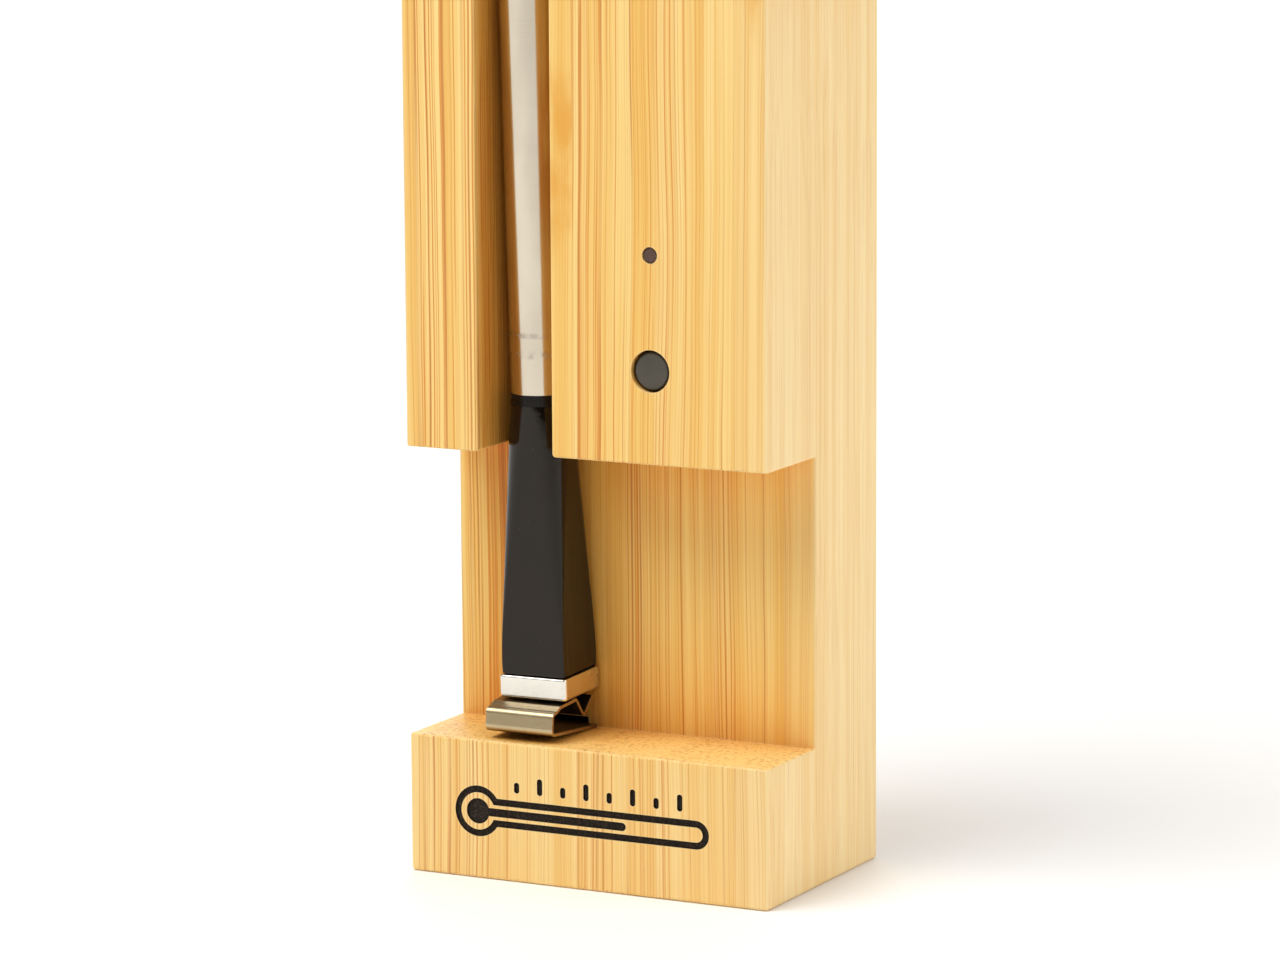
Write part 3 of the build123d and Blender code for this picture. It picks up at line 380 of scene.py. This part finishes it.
def sawn_end(s, place, cane, across):
    """Colour of the sawn ends: the bundles are brown dots in a paler ground."""
    dot_size = s.ramp(across, 0.0, 1.0, 0.36, 0.2, smooth=False)
    dots = fibres(s, cane, 0.7, dot_size, (4.1, 2.6, 0.0))
    specks = fibres(s, cane, 0.36, s.both(dot_size, 0.9), (9.2, 6.3, 0.0))
    saw = s.noise(s.scaled(place, (0.3, 5.0, 0.3), (8, 8, 8)), detail=2.0)
    ground = s.mix(s.ramp(saw, 0.35, 0.7), colour(250, 217, 150), colour(243, 205, 134))
    sawn = s.mix(s.both(specks, 0.4), ground, colour(214, 156, 86))
    return s.mix(s.both(dots, 0.55), sawn, colour(186, 122, 58))


def paint_cut_shade(s, wood, depth, beside):
    """Painted shade: the cut faces get a warmer, darker tint, more of it in their corners and most
    deep inside gaps.
    """
    cut = s.both(
        s.ramp(depth, 0.2, 0.8),
        s.ramp(depth, CUTS_END + 1.0, CUTS_END),
        s.ramp(beside, SIDE_MM - 0.1, SIDE_MM - 0.4),
    )
    openness = s.openness(12.0)
    # Painted shade: darker where the surface is less open, in corners and gaps, and darkest deep
    # inside them.
    corner = s.both(s.ramp(openness, 0.95, 0.3), cut)
    deep_corner_shade = s.both(s.ramp(openness, 0.65, 0.15), cut)
    wood = s.mix(cut, wood, CUT_SHADE_TINT, "MULTIPLY")
    wood = s.mix(corner, wood, CORNER_SHADE_TINT, "MULTIPLY")
    return s.mix(deep_corner_shade, wood, DEEP_CORNER_SHADE_TINT, "MULTIPLY")


def burn_sign(s, wood, rough, depth, beside, height):
    """Colour and roughness with the sign burnt in: its walls and floor are charred."""
    burnt = s.both(
        s.ramp(depth, *CHAR_START),
        s.ramp(depth, *CHAR_END),
        s.ramp(height, SIGN_LOW, SIGN_LOW + 0.2),
        s.ramp(height, SIGN_HIGH, SIGN_HIGH - 0.2),
        s.ramp(beside, SIGN_HALF_W, SIGN_HALF_W - 0.2),
    )
    ash = s.noise(s.scaled(s.place, 5.0), detail=3.0)
    char = s.mix(s.ramp(ash, 0.4, 0.75), colour(26, 20, 15), colour(62, 48, 36))
    return s.mix(burnt, wood, char), s.math("ADD", rough, s.both(burnt, 0.3))


def bamboo(name, shift, signed):
    """Lacquered strips glued side by side, their fibre bundles running up the block."""
    s = Shader(name)
    x, y, height = s.split(s.place)
    beside = s.math("ABSOLUTE", x)
    depth = s.math("SUBTRACT", y, FRONT_MM)
    side = s.ramp(beside, SIDE_MM - 0.5, SIDE_MM - 0.1)
    place = s.moved(s.place, shift)
    cane, strip, across = cane_place(s, place)
    tones = cane_tones(s, strip, height, side)
    joint = cane_joint(s, place, strip, side)
    wood, relief = long_grain(s, cane, strip, across, joint, tones)
    wood = s.mix(s.both(s.facing_up(), 0.85), wood, sawn_end(s, place, cane, across))
    # Glue lines between the strips.
    from_middle = s.math("ABSOLUTE", s.math("SUBTRACT", across, 0.5))
    wood = s.mix(s.ramp(from_middle, 0.490, 0.498, 0.0, 0.15), wood, tones[-1])
    # Painted shade on the cut faces, darker in their corners.
    wood = paint_cut_shade(s, wood, depth, beside)
    # Sanded edges are paler.
    wood = s.mix(s.both(s.edge_wear(0.35), 0.3), wood, colour(252, 230, 180))
    smear = s.noise(s.scaled(place, (0.3, 0.3, 0.12), (5, 5, 5)), detail=2.0)
    rough = s.ramp(smear, 0.3, 0.7, 0.42, 0.55)
    if signed:
        wood, rough = burn_sign(s, wood, rough, depth, beside, height)
    s.set(
        Base_Color=wood,
        Roughness=rough,
        Normal=s.bump(relief, 0.03),
        Specular_IOR_Level=0.25,
        Coat_Weight=0.05,
        Coat_Roughness=0.3,
    )
    return s.material


# ---------------------------------------------------------------- metals, plastics and ceramics

# In millimetres: where the button is, and how high the two scuffed rings are on the probe.
BUTTON_X = 7.4
BUTTON_Z = 52.5
BUTTON_R = 1.93
RING_LOW = 52.8
RING_HIGH = 54.7
SCUFFED_STEEL = (0.36, 0.32, 0.27, 1.0)
BARE_STEEL = (0.95, 0.94, 0.92, 1.0)
# Painted shade for the steel parts: one colour for level faces, one for gaps.
PAINTED_TOP_SHADE = (0.17, 0.14, 0.10, 1.0)
PAINTED_GAP_SHADE = (0.10, 0.07, 0.04, 1.0)


def shaded(tint, factor, lift=0.0):
    """The same colour, lighter or darker."""
    return tuple(min(1.0, factor * channel + lift) for channel in tint[:3]) + (1.0,)


def polished_steel(name, tint, roughness, grain=(2.0, 2.0, 0.05), grain_depth=0.002, painted_shade=0.0):
    """Steel with fine drawn lines, faint smudges and brighter edges; painted shade can darken its
    level faces and its gaps.
    """
    s = Shader(name)
    lines = s.noise(s.scaled(s.place, tuple(8 * g for g in grain)), detail=4.0, roughness=0.6)
    smudge = s.noise(s.scaled(s.place, 0.22, (3, 1, 8)), detail=3.0)
    tone = s.mix(s.ramp(smudge, 0.3, 0.7, 0.0, 0.18), tint, shaded(tint, 0.75))
    tone = s.mix(s.both(s.edge_wear(0.12), 0.4), tone, BARE_STEEL)
    if painted_shade:
        # Painted shade: level faces and gaps are darkened.
        tone = s.mix(s.both(s.facing_up(), painted_shade, 0.9), tone, PAINTED_TOP_SHADE)
        tone = s.mix(s.both(s.ramp(s.openness(3.0), 0.95, 0.3), painted_shade), tone, PAINTED_GAP_SHADE)
    base = s.ramp(lines, 0.3, 0.7, roughness * 0.8, roughness * 1.25)
    s.set(
        Base_Color=tone,
        Metallic=1.0,
        Roughness=s.math("ADD", base, s.ramp(smudge, 0.35, 0.75, 0.0, 0.06)),
        Normal=s.bump(lines, grain_depth),
    )
    return s.material


def probe_steel():
    """Ground steel tube with faint smudges and two scuffed rings above the grip."""
    s = Shader("shaft_steel")
    _, _, z = s.split(s.place)
    turned = s.noise(s.scaled(s.place, (0.1, 0.1, 14.0)), detail=2.0)
    smudge = s.noise(s.scaled(s.place, (0.3, 0.3, 0.12), (3, 1, 8)), detail=2.0)
    ring = s.math("MAXIMUM", s.near(z, RING_LOW, 0.15, 0.6), s.near(z, RING_HIGH, 0.1, 0.4))
    worn = s.noise(s.scaled(s.place, (0.9, 0.9, 0.5), (5, 5, 2)), detail=2.0)
    ring = s.both(ring, s.ramp(worn, 0.35, 0.6))
    tone = s.mix(s.ramp(smudge, 0.3, 0.7), (0.67, 0.60, 0.48, 1.0), (0.60, 0.53, 0.42, 1.0))
    tone = s.mix(s.both(ring, 0.45), tone, SCUFFED_STEEL)
    base = s.ramp(turned, 0.3, 0.7, 0.15, 0.21)
    s.set(
        Base_Color=tone,
        Metallic=1.0,
        Roughness=s.math("ADD", base, s.both(ring, 0.12)),
        Normal=s.bump(turned, 0.0006),
    )
    return s.material


def cap_plastic():
    """Warm grey moulded cap, with a painted shadow at its rim where it meets the bore."""
    s = Shader("button_plastic")
    x, _, z = s.split(s.place)
    across = s.join(s.math("SUBTRACT", x, BUTTON_X), 0.0, s.math("SUBTRACT", z, BUTTON_Z))
    length = s.tree.nodes.new("ShaderNodeVectorMath")
    length.operation = "LENGTH"
    s.put(length.inputs[0], across)
    # Painted shadow of the bore around the cap's rim.
    rim_shade = s.ramp(length.outputs["Value"], BUTTON_R - 0.28, BUTTON_R - 0.12)
    grain = s.noise(s.scaled(s.place, 7.0), detail=3.0, roughness=0.6)
    cloud = s.noise(s.scaled(s.place, 0.6, (2, 4, 6)), detail=2.0)
    tone = s.mix(s.ramp(cloud, 0.3, 0.7), colour(68, 64, 54), colour(76, 71, 60))
    tone = s.mix(rim_shade, tone, colour(18, 12, 7))
    s.set(
        Base_Color=tone,
        Roughness=s.ramp(grain, 0.3, 0.7, 0.38, 0.52),
        Normal=s.bump(grain, 0.006),
    )
    return s.material


def moulded_plastic(name, tint, roughness, speckle=6.0, depth=0.01, gloss=0.5):
    """Moulded plastic with a fine texture, slight tone changes and worn edges."""
    s = Shader(name)
    grain = s.noise(s.scaled(s.place, speckle), detail=3.0, roughness=0.6)
    cloud = s.noise(s.scaled(s.place, 0.5, (2, 4, 6)), detail=2.0)
    tone = s.mix(s.ramp(cloud, 0.3, 0.7), tint, shaded(tint, 1.25, 0.004))
    tone = s.mix(s.both(s.edge_wear(0.15), 0.35), tone, shaded(tint, 1.6, 0.02))
    s.set(
        Base_Color=tone,
        Roughness=s.ramp(grain, 0.3, 0.7, roughness - 0.06, roughness + 0.08),
        Normal=s.bump(grain, depth),
        Specular_IOR_Level=gloss,
    )
    return s.material


def glazed_ceramic():
    """Glossy black glaze with a few bright specks and faint handling marks."""
    s = Shader("black_ceramic")
    smudge = s.noise(s.scaled(s.place, (0.35, 0.35, 0.2), (1, 7, 3)), detail=3.0)
    speck_far, _ = s.cells(s.scaled(s.place, 0.9))
    speck = s.ramp(speck_far, 0.05, 0.03)
    tone = s.mix(s.ramp(smudge, 0.3, 0.7), colour(11, 8, 5), colour(17, 12, 8))
    tone = s.mix(s.both(speck, 0.5), tone, colour(120, 112, 100))
    ripple = s.noise(s.scaled(s.place, (0.6, 0.6, 0.25), (9, 2, 5)), detail=1.0)
    s.set(
        Base_Color=tone,
        Roughness=s.ramp(smudge, 0.35, 0.75, 0.07, 0.15),
        Normal=s.bump(ripple, 0.01, 0.3),
        IOR=1.41,
        Specular_Tint=(1.0, 0.9, 0.8, 1.0),
    )
    return s.material


def block_bamboo():
    return bamboo("bamboo", (0.0, 0.0, 0.0), signed=True)


def cover_bamboo():
    """The cover was sawn from another blank, so its grain doesn't run on from the block's."""
    return bamboo("bamboo_cover", COVER_SHIFT, signed=False)


def spring_steel():
    """Rolled strip, worn, with painted shade on its level faces and in its gaps."""
    tint = (0.56, 0.45, 0.27, 1.0)
    return polished_steel("spring_steel", tint, 0.3, (0.1, 2.0, 2.0), 0.0005, 0.8)


def foot_steel():
    """Polished contact with painted shade in its gaps and on its level faces."""
    tint = (0.81, 0.78, 0.70, 1.0)
    return polished_steel("foot_steel", tint, 0.2, (0.2, 0.2, 0.6), 0.0005, 0.5)


def tray_plastic():
    return moulded_plastic("tray_plastic", colour(34, 33, 33), 0.5)


def smoke_guide():
    """Brown window over the status light."""
    return moulded_plastic("smoke_guide", colour(74, 50, 38), 0.25, depth=0.004)


def seal_black():
    return moulded_plastic("seal_black", colour(12, 8, 5), 0.3, depth=0.002, gloss=0.2)


MATERIALS = {
    "bamboo": block_bamboo,
    "black_ceramic": glazed_ceramic,
    "tray_plastic": tray_plastic,
    "button_plastic": cap_plastic,
    "smoke_guide": smoke_guide,
    "spring_steel": spring_steel,
    "shaft_steel": probe_steel,
    "foot_steel": foot_steel,
    "seal_black": seal_black,
}


def default_material(slot):
    """Finish from the record for a slot that has no shader of its own yet."""
    red, green, blue = slot["base_color"][:3]
    tint = (red, green, blue, 1.0)
    if slot["class"] in ("brushed_steel", "chrome", "brass", "aluminium"):
        return polished_steel(slot["slot"], tint, 0.22)
    return moulded_plastic(slot["slot"], tint, 0.4)


def dress_nodes():
    """Give every CAD node its slot's material."""
    slots = {item["slot"]: item for item in frame["record"]["materials"]}
    finished = {}
    for entry in frame["record"]["subparts"]:
        slot = entry["material_slot"]
        if slot not in finished:
            make = MATERIALS.get(slot)
            finished[slot] = make() if make else default_material(slots[slot])
        obj = nodes[entry["node"]]
        obj.data.materials.clear()
        obj.data.materials.append(finished[slot])
    # The cover shares the block's slot, and has grain of its own.
    cover = nodes["rear_cover"].data.materials
    cover.clear()
    cover.append(cover_bamboo())


# ---------------------------------------------------------------- studio

FLOOR_HALF = 4.0
LIGHT_AIM = (0.0, 0.0, 0.05)
# For each light: its name, place, side in metres, power in watts and colour.
LIGHTS = (
    ("key", (-0.42, -0.62, 1.25), 1.0, 16.5, (1.0, 0.985, 0.96)),
    ("side", (1.35, 0.15, 0.62), 0.9, 7.5, (1.0, 1.0, 1.0)),
    ("back", (-0.5, 1.4, 0.9), 1.0, 9.0, (1.0, 1.0, 1.0)),
)
SKY = 0.42
SKY_WHITE = (1.0, 1.0, 1.0, 1.0)
ROOM_BROWN = (0.20, 0.13, 0.07, 1.0)


def make_floor():
    """Wide pale floor."""
    half = FLOOR_HALF
    mesh = bpy.data.meshes.new("floor")
    corners = [(-half, -half, 0), (half, -half, 0), (half, half, 0), (-half, half, 0)]
    mesh.from_pydata(corners, [], [(0, 1, 2, 3)])
    floor = bpy.data.objects.new("floor", mesh)
    bpy.context.scene.collection.objects.link(floor)
    s = Shader("floor_paper")
    grain = s.noise(s.scaled(s.place, 0.02), detail=2.0)
    paper = s.mix(grain, (0.92, 0.92, 0.92, 1.0), (0.95, 0.95, 0.95, 1.0))
    s.set(Base_Color=paper, Roughness=0.9)
    mesh.materials.append(s.material)


def area_light(name, at, size, power, tint):
    """Square soft light that points at the block."""
    data = bpy.data.lights.new(name, "AREA")
    data.shape = "SQUARE"
    data.size = size
    data.energy = power
    data.color = tint
    light = bpy.data.objects.new(name, data)
    bpy.context.scene.collection.objects.link(light)
    light.location = at
    light.rotation_euler = (Vector(LIGHT_AIM) - Vector(at)).to_track_quat("-Z", "Y").to_euler()


def make_world():
    """Bright surroundings, with the unlit room low down in front of the block."""
    world = bpy.data.worlds.new("studio")
    world.use_nodes = True
    g = Graph(world.node_tree)
    coordinates = world.node_tree.nodes.new("ShaderNodeTexCoord")
    _, toward_back, up = g.split(coordinates.outputs["Generated"])
    low = g.ramp(up, 0.42, 0.10)
    ahead = g.ramp(toward_back, -0.15, -0.55)
    room = g.both(low, ahead)
    background = world.node_tree.nodes["Background"]
    g.put(background.inputs["Color"], g.mix(room, SKY_WHITE, ROOM_BROWN))
    background.inputs["Strength"].default_value = SKY
    bpy.context.scene.world = world


def make_studio():
    make_floor()
    for light in LIGHTS:
        area_light(*light)
    make_world()
    bpy.context.scene.view_settings.view_transform = "Standard"
    bpy.context.scene.view_settings.look = "None"


make_camera()
make_studio()
dress_nodes()
